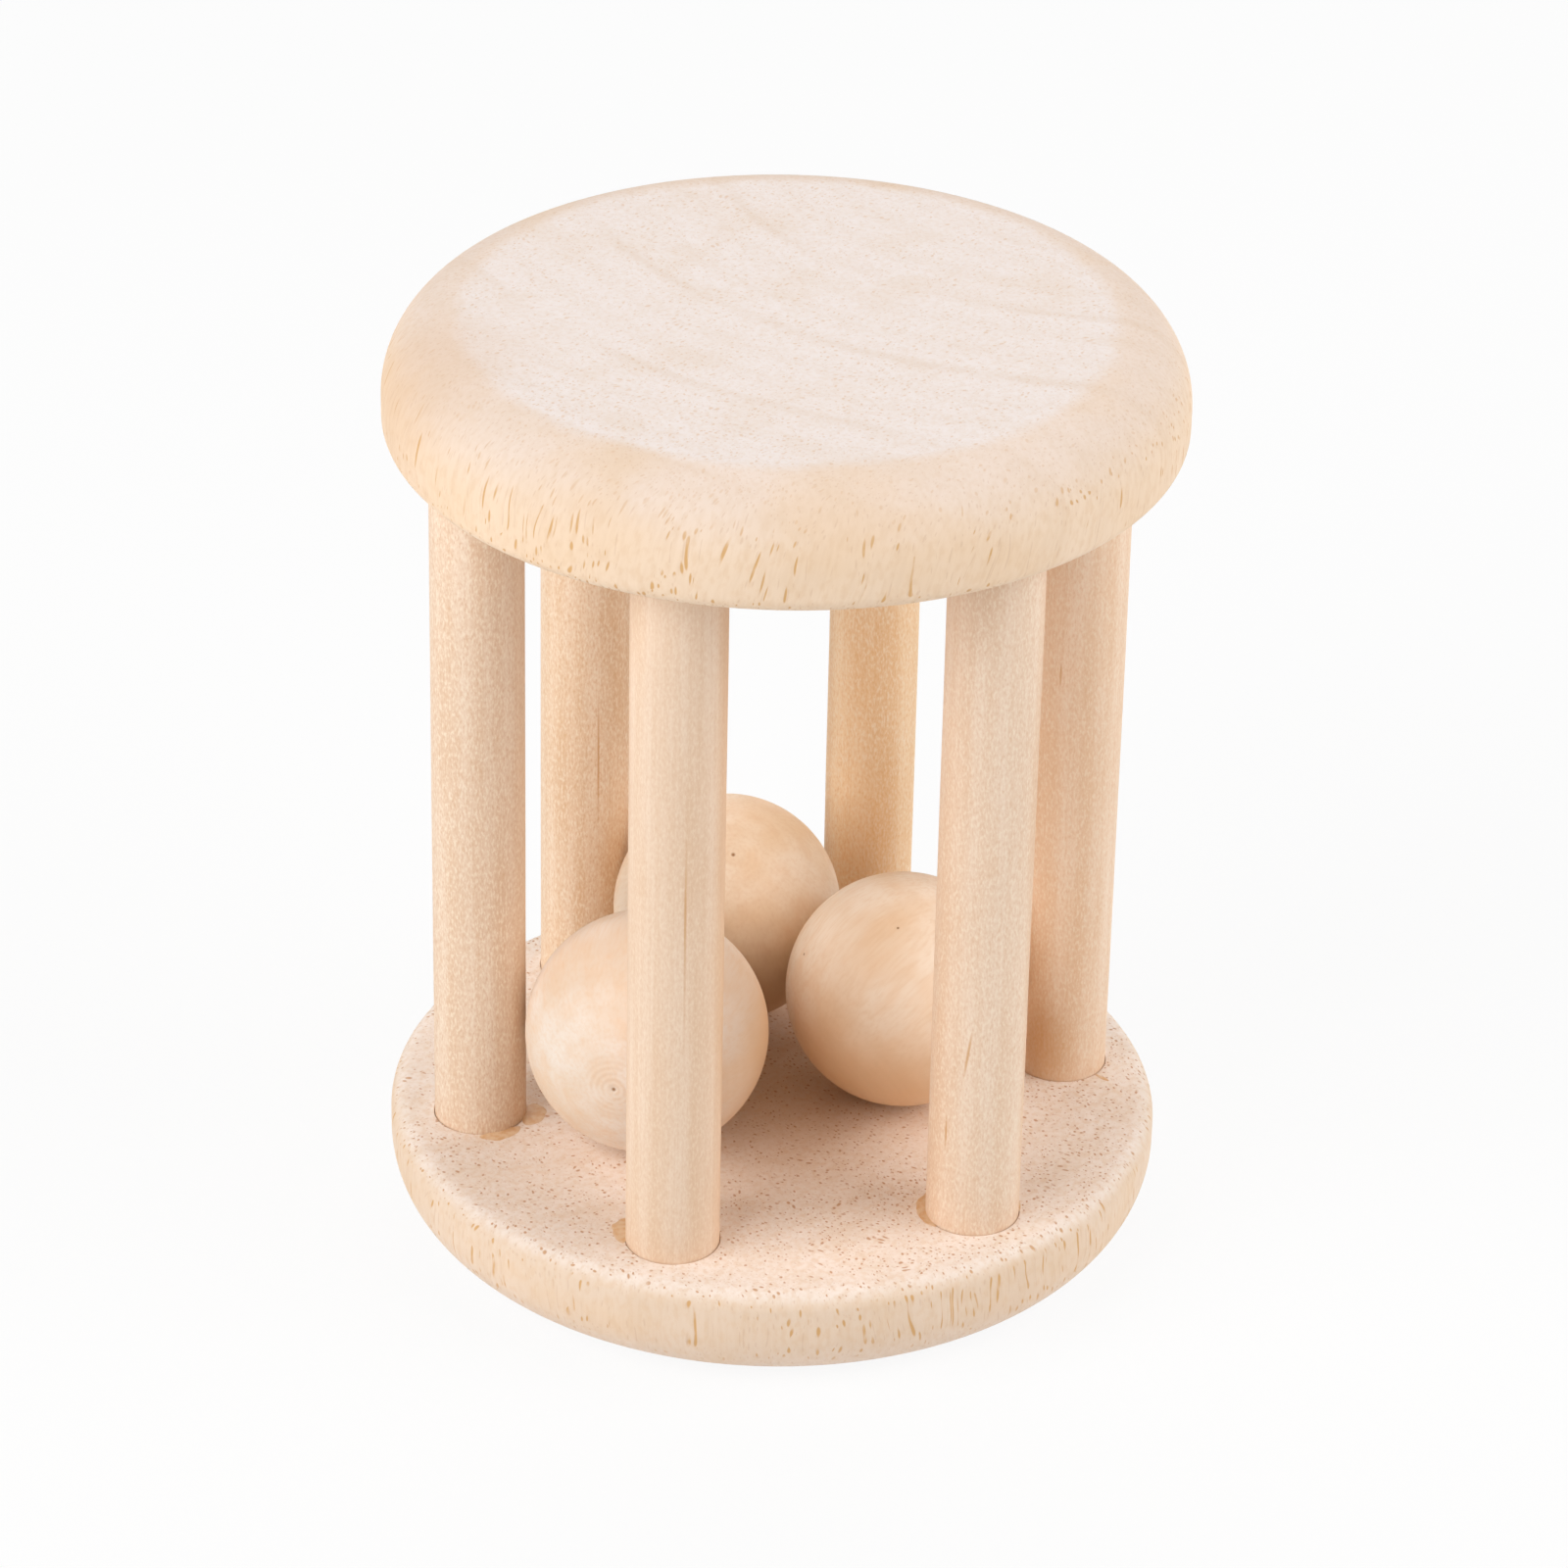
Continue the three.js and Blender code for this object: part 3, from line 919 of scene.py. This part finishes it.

# %% Looks of the six dowels
# Each dowel's tones, the way that its pith lies in degrees, its share of flecks, and its streaks: angle
# round the rod in degrees, height, width and length in millimetres, lean in degrees, and strength. Thin
# ones are brown streaks. Broad ones warm the tone: the one at the right dowel's foot is a stain, and the
# others are painted shade.
DOWEL_LOOKS = {
    "right_dowel": {
        "pale": "#F7DCC3",
        "tan": "#E5B98F",
        "turn": 20,
        "flecks": 0.5,
        "streaks": [(-130, 16, 8, 15, 0, 0.5), (-126, 60.5, 0.36, 4, 0, 0.6)],
    },
    "back_right_dowel": {
        "pale": "#F9DFBC",
        "tan": "#E8BC89",
        "turn": 75,
        "flecks": 0.65,
        # The broad mark low on the front is painted shade.
        "streaks": [(-90, 24, 9, 40, 0, 0.3)],
    },
    "back_left_dowel": {
        "pale": "#F4DABF",
        "tan": "#E0B78B",
        "turn": 140,
        "flecks": 0.72,
        "streaks": [(-83, 40, 0.35, 20, 0, 0.7)],
    },
    "left_dowel": {
        "pale": "#F1D8C0",
        "tan": "#DFB792",
        "turn": 200,
        "flecks": 0.72,
        # The broad mark is painted shade.
        "streaks": [(-14, 56, 7, 120, 0, 0.25)],
    },
    "front_left_dowel": {
        "pale": "#F1D7BF",
        "tan": "#DFB893",
        "turn": 260,
        "flecks": 0.34,
        "streaks": [
            (-89.5, 50, 0.4, 36, 0, 0.32),
            (-90, 52.5, 0.34, 14, 0, 0.42),
            # Painted shade.
            (-14, 56, 7, 150, 0, 0.32),
        ],
    },
    "front_right_dowel": {
        "pale": "#F3DAC3",
        "tan": "#E3BD9A",
        "turn": 310,
        "flecks": 0.6,
        "streaks": [
            (-116, 33.5, 0.44, 7.5, 7, 0.7),
            (-142, 23.7, 0.42, 5, 0, 0.7),
            # Painted shade.
            (-14, 56, 6, 150, 0, 0.26),
        ],
    },
}
print("looks for", len(DOWEL_LOOKS), "dowels")

# %% Sweep the six dowels
ROD_CHAMFER = 0.6 * MM
ROD_STEP = 1.5 * MM
ROD_SIDES = 72
ROD_WOBBLE = 0.06 * MM
ROD_WOBBLE_SIZE = 14 * MM


def axis_line(name, low, high):
    """A row of points up the middle of a dowel, with one at the inner end of each chamfer."""
    x, y = (low.x + high.x) / 2, (low.y + high.y) / 2
    start, end = low.z + ROD_CHAMFER, high.z - ROD_CHAMFER
    count = round((end - start) / ROD_STEP)
    heights = [low.z, *[start + (end - start) * step / count for step in range(count + 1)], high.z]
    line = bpy.data.meshes.new(name)
    line.from_pydata([(x, y, z) for z in heights], [(step, step + 1) for step in range(len(heights) - 1)], [])
    return line


def rod_foot(node):
    """The point of a dowel's axis that is at height zero."""
    low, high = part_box(node)
    return Vector(((low.x + high.x) / 2, (low.y + high.y) / 2, 0))


for order, (node, looks) in enumerate(DOWEL_LOOKS.items()):
    values = {
        "Radius": rod_radius,
        "Chamfer": ROD_CHAMFER,
        "Sides": ROD_SIDES,
        "Wobble": ROD_WOBBLE,
        "Wobble size": ROD_WOBBLE_SIZE,
        "Seed": float(order),
        "Material": birch_rod("birch_" + node, rod_foot(node), **looks),
    }
    rod = shaped("drawn_" + node, axis_line(node + "_axis", *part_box(node)), rod_tree, values)
    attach(rod, "cage")
    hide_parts(node)
    print(rod.name, len(rod.data.polygons), "faces")

# %% [markdown]
# ## Glue that was squeezed out
#
# At the feet of some dowels a little glue came out of the socket and dried to a thin amber film. It could
# be a stain in the disc's wood, but a thin body of its own has an edge that catches the light. A film
# follows the foot of its dowel, so it is a flattened bead along an arc: Geometry Nodes draw the arc,
# sweep a circle along it whose size swells and tapers with seeded noise, and press the result flat onto
# the face of the disc.

# %% A tree that lays a film of glue
GLUE_ARC_POINTS = 64
GLUE_BEAD_SIDES = 20
GLUE_BLUNTNESS = 0.6  # below 1 the ends of a film taper late
GLUE_LEAST = 0.04  # the least share of a film's width

glue_tree, glue_in = geometry_tree(
    "lay_glue_film",
    {
        "Arc radius": "NodeSocketFloat",
        "Start": "NodeSocketFloat",
        "Sweep": "NodeSocketFloat",
        "Half width": "NodeSocketFloat",
        "Flatness": "NodeSocketFloat",
        "Ragged size": "NodeSocketFloat",
        "Place": "NodeSocketVector",
        "Seed": "NodeSocketFloat",
        "Material": "NodeSocketMaterial",
    },
)
glue_arc = add(
    glue_tree,
    "GeometryNodeCurveArc",
    {
        "Resolution": GLUE_ARC_POINTS,
        "Radius": glue_in["Arc radius"],
        "Start Angle": glue_in["Start"],
        "Sweep Angle": glue_in["Sweep"],
    },
)
glue_along = add(glue_tree, "GeometryNodeSplineParameter", output="Factor")
glue_half_turn = add(glue_tree, inputs={0: glue_along, 1: math.pi}, **TIMES)
glue_rise = add(glue_tree, "ShaderNodeMath", {0: glue_half_turn}, operation="SINE")
glue_taper = add(
    glue_tree, "ShaderNodeMath", {0: glue_rise, 1: GLUE_BLUNTNESS}, operation="POWER", use_clamp=True
)
glue_spot = add(glue_tree, "GeometryNodeInputPosition")
glue_waves = add(
    glue_tree, "ShaderNodeVectorMath", {0: glue_spot, 1: glue_in["Ragged size"]}, operation="DIVIDE"
)
glue_noise = add(
    glue_tree,
    "ShaderNodeTexNoise",
    {"Vector": glue_waves, "W": glue_in["Seed"], "Scale": 1.0, "Detail": 2.0},
    noise_dimensions="4D",
)
glue_ragged = add(glue_tree, "ShaderNodeMapRange", {"Value": glue_noise, "To Min": 0.35, "To Max": 1.65})
glue_swell = add(glue_tree, inputs={0: glue_taper, 1: glue_ragged}, **TIMES)
glue_least = add(glue_tree, "ShaderNodeMath", {0: glue_swell, 1: GLUE_LEAST}, operation="MAXIMUM")
glue_reach = add(glue_tree, inputs={0: glue_least, 1: glue_in["Half width"]}, **TIMES)
glue_round = {"Resolution": GLUE_BEAD_SIDES, "Radius": 1.0}
glue_circle = add(glue_tree, "GeometryNodeCurvePrimitiveCircle", glue_round)
glue_bead = add(
    glue_tree,
    "GeometryNodeCurveToMesh",
    {"Curve": glue_arc, "Profile Curve": glue_circle, "Scale": glue_reach, "Fill Caps": True},
)
print("glue tree: bead")

# %% Press the bead flat and put it in place
glue_lie = add(glue_tree, "ShaderNodeCombineXYZ", {"X": 1.0, "Y": 1.0, "Z": glue_in["Flatness"]})
glue_pressed = add(glue_tree, inputs={0: glue_spot, 1: glue_lie}, **STRETCH)
glue_placed = add(glue_tree, "ShaderNodeVectorMath", {0: glue_pressed, 1: glue_in["Place"]}, operation="ADD")
glue_flat = add(glue_tree, "GeometryNodeSetPosition", {"Geometry": glue_bead, "Position": glue_placed})
glue_smooth = add(glue_tree, "GeometryNodeSetShadeSmooth", {"Geometry": glue_flat})
finish_tree(glue_tree, glue_smooth, glue_in["Material"])
print("glue tree:", len(glue_tree.nodes), "nodes")

# %% Dried wood glue


def dried_glue():
    """White wood glue dries to a clear amber film: the wood shows through it darker and a little shiny."""
    material, tree = new_material("dried_wood_glue")
    space = grain_space(tree, Vector((0, 0, 0)), UPRIGHT, Vector((1, 0, 0)))
    cloudy = fibres(tree, space, width=0.8, length=0.8, detail=3.0)
    share = add(tree, inputs={"Value": cloudy, "From Min": 0.35, "From Max": 0.65}, **SMOOTH_STEP)
    amber = add(tree, inputs={"Factor": share, "A": paint("#EACBA8"), "B": paint("#E0B485")}, **COLOUR_MIX)
    bump = add(tree, "ShaderNodeBump", {"Height": cloudy, "Strength": 0.2, "Distance": 0.05 * MM})
    film = {"Base Color": amber, "Roughness": 0.42, "IOR": 1.46, "Normal": bump}
    surface = add(tree, "ShaderNodeBsdfPrincipled", film)
    add(tree, "ShaderNodeOutputMaterial", {"Surface": surface})
    return material


glue = dried_glue()
print("material:", glue.name)

# %% Lay the films of glue
GLUE_FLATNESS = 0.06
GLUE_FIRST_SEED = 3.0
GLUE_RAGGED_SIZE = 1.6 * MM

# Each film's dowel, start and sweep round the dowel in degrees, arc radius and half width in millimetres.
GLUE_FILMS = {
    "glue_at_left_dowel": ("left_dowel", -100, 52, 5.3, 0.95),
    "glue_beside_left_dowel": ("left_dowel", -42, 44, 5.6, 1.25),
    "glue_at_front_left_dowel": ("front_left_dowel", 122, 60, 5.1, 1.1),
    "glue_at_front_right_dowel": ("front_right_dowel", 118, 92, 4.95, 0.8),
    "glue_smear_at_front_right_dowel": ("front_right_dowel", -14, 34, 4.7, 0.4),
    "glue_smear_at_right_dowel": ("right_dowel", -56, 5, 5.8, 0.9),
}
for order, (name, (node, start, sweep, arc_radius, half_width)) in enumerate(GLUE_FILMS.items()):
    values = {
        "Arc radius": arc_radius * MM,
        "Start": math.radians(start),
        "Sweep": math.radians(sweep),
        "Half width": half_width * MM,
        "Flatness": GLUE_FLATNESS,
        "Ragged size": GLUE_RAGGED_SIZE,
        "Place": rod_foot(node) + Vector((0, 0, disc_high.z)),
        "Seed": GLUE_FIRST_SEED + order,
        "Material": glue,
    }
    film = shaped(name, bpy.data.meshes.new(name + "_blank"), glue_tree, values)
    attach(film, "cage")
    print(film.name, len(film.data.polygons), "faces")

# %% [markdown]
# ## Wood of the balls
#
# The balls are turned from birch as well and tumbled smooth, so they are the silkiest pieces. Each was
# turned about the grain: a few fine rings circle the dark dot of the pith at its pole, and the grain
# draws out to long soft bands round its sides. The side of each ball that lies in shade has painted
# shade on it: a warmer tone that deepens the shade there. A picture can't be wrapped round a ball
# without pinching, so the solid patterns serve here too.

# %% Tumbled birch ball
RINGS_REACH = 5.0
PAINTED_SHADE_WIDTH = 30
PAINTED_SHADE_STRENGTH = 0.68


def birch_ball(name, centre, radius, pole, pale, tan, rings, warm, specks):
    """Birch with its pith through a ball's poles, and rings of this strength round it. Shade is painted on
    the ball as a warmer tone towards the direction `warm`. Directions are azimuth and elevation in degrees.
    Each speck gives its own, and its width in millimetres."""
    material, tree = new_material(name)
    pole_way, painted_shade_way = towards(*pole), towards(*warm)
    space = grain_space(tree, centre, pole_way, pole_way.orthogonal())

    broad = fibres(tree, space, width=7.0, length=16.0)
    side = add(tree, inputs={"Value": broad, "From Min": 0.35, "From Max": 0.7, "To Max": 0.6}, **SMOOTH_STEP)
    toned = add(tree, inputs={"Factor": side, "A": paint(pale), "B": paint(tan)}, **COLOUR_MIX)
    cloud = fibres(tree, space, width=2.6, length=5.0, detail=3.0)
    cloudy = {"Value": cloud, "From Min": 0.42, "From Max": 0.7, "To Max": 0.32}
    patch = add(tree, inputs=cloudy, **SMOOTH_STEP)
    # Painted shade: the side of the ball that lies in shade is drawn warmer and darker.
    painted_shade_mark = long_mark(tree, centre + radius * painted_shade_way, painted_shade_way, PAINTED_SHADE_WIDTH, PAINTED_SHADE_WIDTH)
    painted_shade_share = add(tree, inputs={0: painted_shade_mark, 1: PAINTED_SHADE_STRENGTH}, **TIMES)
    shade_painted = add(tree, inputs={"Factor": painted_shade_share, "A": toned, "B": paint("#E3AF76")}, **COLOUR_MIX)
    clouded = add(tree, inputs={"Factor": patch, "A": shade_painted, "B": paint("#EBC196")}, **COLOUR_MIX)

    across = add(tree, inputs={0: space, 1: (1, 1, 0)}, **STRETCH)
    from_pith = add(tree, inputs={0: across}, **LENGTH)
    close = {"Value": from_pith, "From Min": 0.5, "From Max": RINGS_REACH, "To Min": rings, "To Max": 0.04}
    nearness = add(tree, inputs=close, **SMOOTH_STEP)
    patchy = add(tree, inputs={"Value": cloud, "From Min": 0.35, "From Max": 0.55}, **SMOOTH_STEP)
    lines = growth_lines(tree, space, first=0.5, spacing=0.62, soft=0.3, waver=0.9)
    broken = add(tree, inputs={0: lines, 1: patchy}, **TIMES)
    faint = add(tree, inputs={0: broken, 1: nearness}, **TIMES)
    ringed = add(tree, inputs={"Factor": faint, "A": clouded, "B": paint("#CFA476")}, **COLOUR_MIX)
    years = growth_lines(tree, space, first=1.0, spacing=2.3, soft=0.8, waver=1.6)
    weak = add(tree, inputs={"Value": years, "To Max": 0.07}, **SMOOTH_STEP)
    banded = add(tree, inputs={"Factor": weak, "A": ringed, "B": paint("#D9AC78")}, **COLOUR_MIX)

    fine = fibres(tree, space, width=0.4, length=3.0, detail=3.0)
    drawn = {"Value": fine, "From Min": 0.4, "From Max": 0.75, "To Max": 0.35}
    thread = add(tree, inputs=drawn, **SMOOTH_STEP)
    grained = add(tree, inputs={"Factor": thread, "A": banded, "B": paint("#E6C29B")}, **COLOUR_MIX)
    for azimuth, elevation, width in specks:
        way = towards(azimuth, elevation)
        mark = long_mark(tree, centre + radius * way, way, width, 2 * width)
        grained = add(tree, inputs={"Factor": mark, "A": grained, "B": paint("#9A6A3C")}, **COLOUR_MIX)

    matt = {"Value": fine, "From Min": 0.2, "From Max": 0.8, "To Min": 0.46, "To Max": 0.58}
    roughness = add(tree, inputs=matt, **SMOOTH_STEP)
    bump = add(tree, "ShaderNodeBump", {"Height": fine, "Strength": 0.2, "Distance": 0.03 * MM})
    wood = {"Base Color": grained, "Roughness": roughness, "IOR": WOOD_IOR, "Normal": bump}
    surface = add(tree, "ShaderNodeBsdfPrincipled", wood)
    add(tree, "ShaderNodeOutputMaterial", {"Surface": surface})
    return material


print("wood: tumbled birch ball, rings within", RINGS_REACH, "mm of the pith")

# %% [markdown]
# ## The balls
#
# A plain UV sphere would be round enough, but turned balls can keep a small dimple at each pole, where
# the lathe's centres held them. So a ball is turned on the same lathe as the discs. Its profile is half
# a circle with closer points at the poles. The mesh is then turned so that its poles lie on the pith,
# and moved to its place.

# %% Looks of the three balls
# The way each ball's pith points, as azimuth and elevation in degrees, its tones, the strength of its rings,
# the way its side of painted shade faces, and its dark specks: azimuth, elevation and width in millimetres.
# The first speck is the pith.
BALL_LOOKS = {
    "left_ball": {
        "pole": (-115.7, 2),
        "pale": "#F1E2D4",
        "tan": "#E6C9AC",
        "rings": 0.28,
        "warm": (-15, -10),
        "specks": [(-115.7, 2, 0.65)],
    },
    "right_ball": {
        "pole": (20, 35),
        "pale": "#F8E5D0",
        "tan": "#EBC7A0",
        "rings": 0.1,
        "warm": (-120, -40),
        "specks": [(20, 35, 0.6), (-176, 28, 0.4), (-110, 62, 0.4)],
    },
    "back_ball": {
        "pole": (-96, 58),
        "pale": "#F8E3CB",
        "tan": "#ECC79C",
        "rings": 0.06,
        "warm": (-60, -60),
        "specks": [(-96, 58, 0.65)],
    },
}
print("looks for", len(BALL_LOOKS), "balls")

# %% Turn the three balls
DIMPLE_RADIUS = 0.35 * MM
DIMPLE_DEPTH = 0.12 * MM
BALL_SIDES = 144
BALL_STEPS = 84


def ball_profile(radius):
    """Half a circle from pole to pole, with a dimple at each and its points crowded near them."""
    points = []
    for step in range(BALL_STEPS + 1):
        share = 2 * step / BALL_STEPS - 1
        slope = math.pi / 2 * (1.5 * share - 0.5 * share**3)
        from_pole = radius * (math.pi / 2 - abs(slope))
        reach = radius - DIMPLE_DEPTH * math.exp(-((from_pole / DIMPLE_RADIUS) ** 2))
        points.append((reach * math.cos(slope), reach * math.sin(slope)))
    return [(0, points[0][1]), *points[1:-1], (0, points[-1][1])]


for node, looks in BALL_LOOKS.items():
    low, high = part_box(node)
    centre = (low + high) / 2
    radius = (high.z - low.z) / 2
    to_pole = towards(*looks["pole"]).to_track_quat("Z", "Y").to_matrix().to_4x4()
    mesh = turned("tumbled_" + node, ball_profile(radius), BALL_SIDES)
    mesh.transform(Matrix.Translation(centre) @ to_pole)
    mesh.materials.append(birch_ball("birch_" + node, centre, radius, **looks))
    ball = bpy.data.objects.new("tumbled_" + node, mesh)
    bpy.context.scene.collection.objects.link(ball)
    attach(ball, node)
    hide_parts(node)
    print(ball.name, len(mesh.polygons), "faces, centre", tuple(centre))
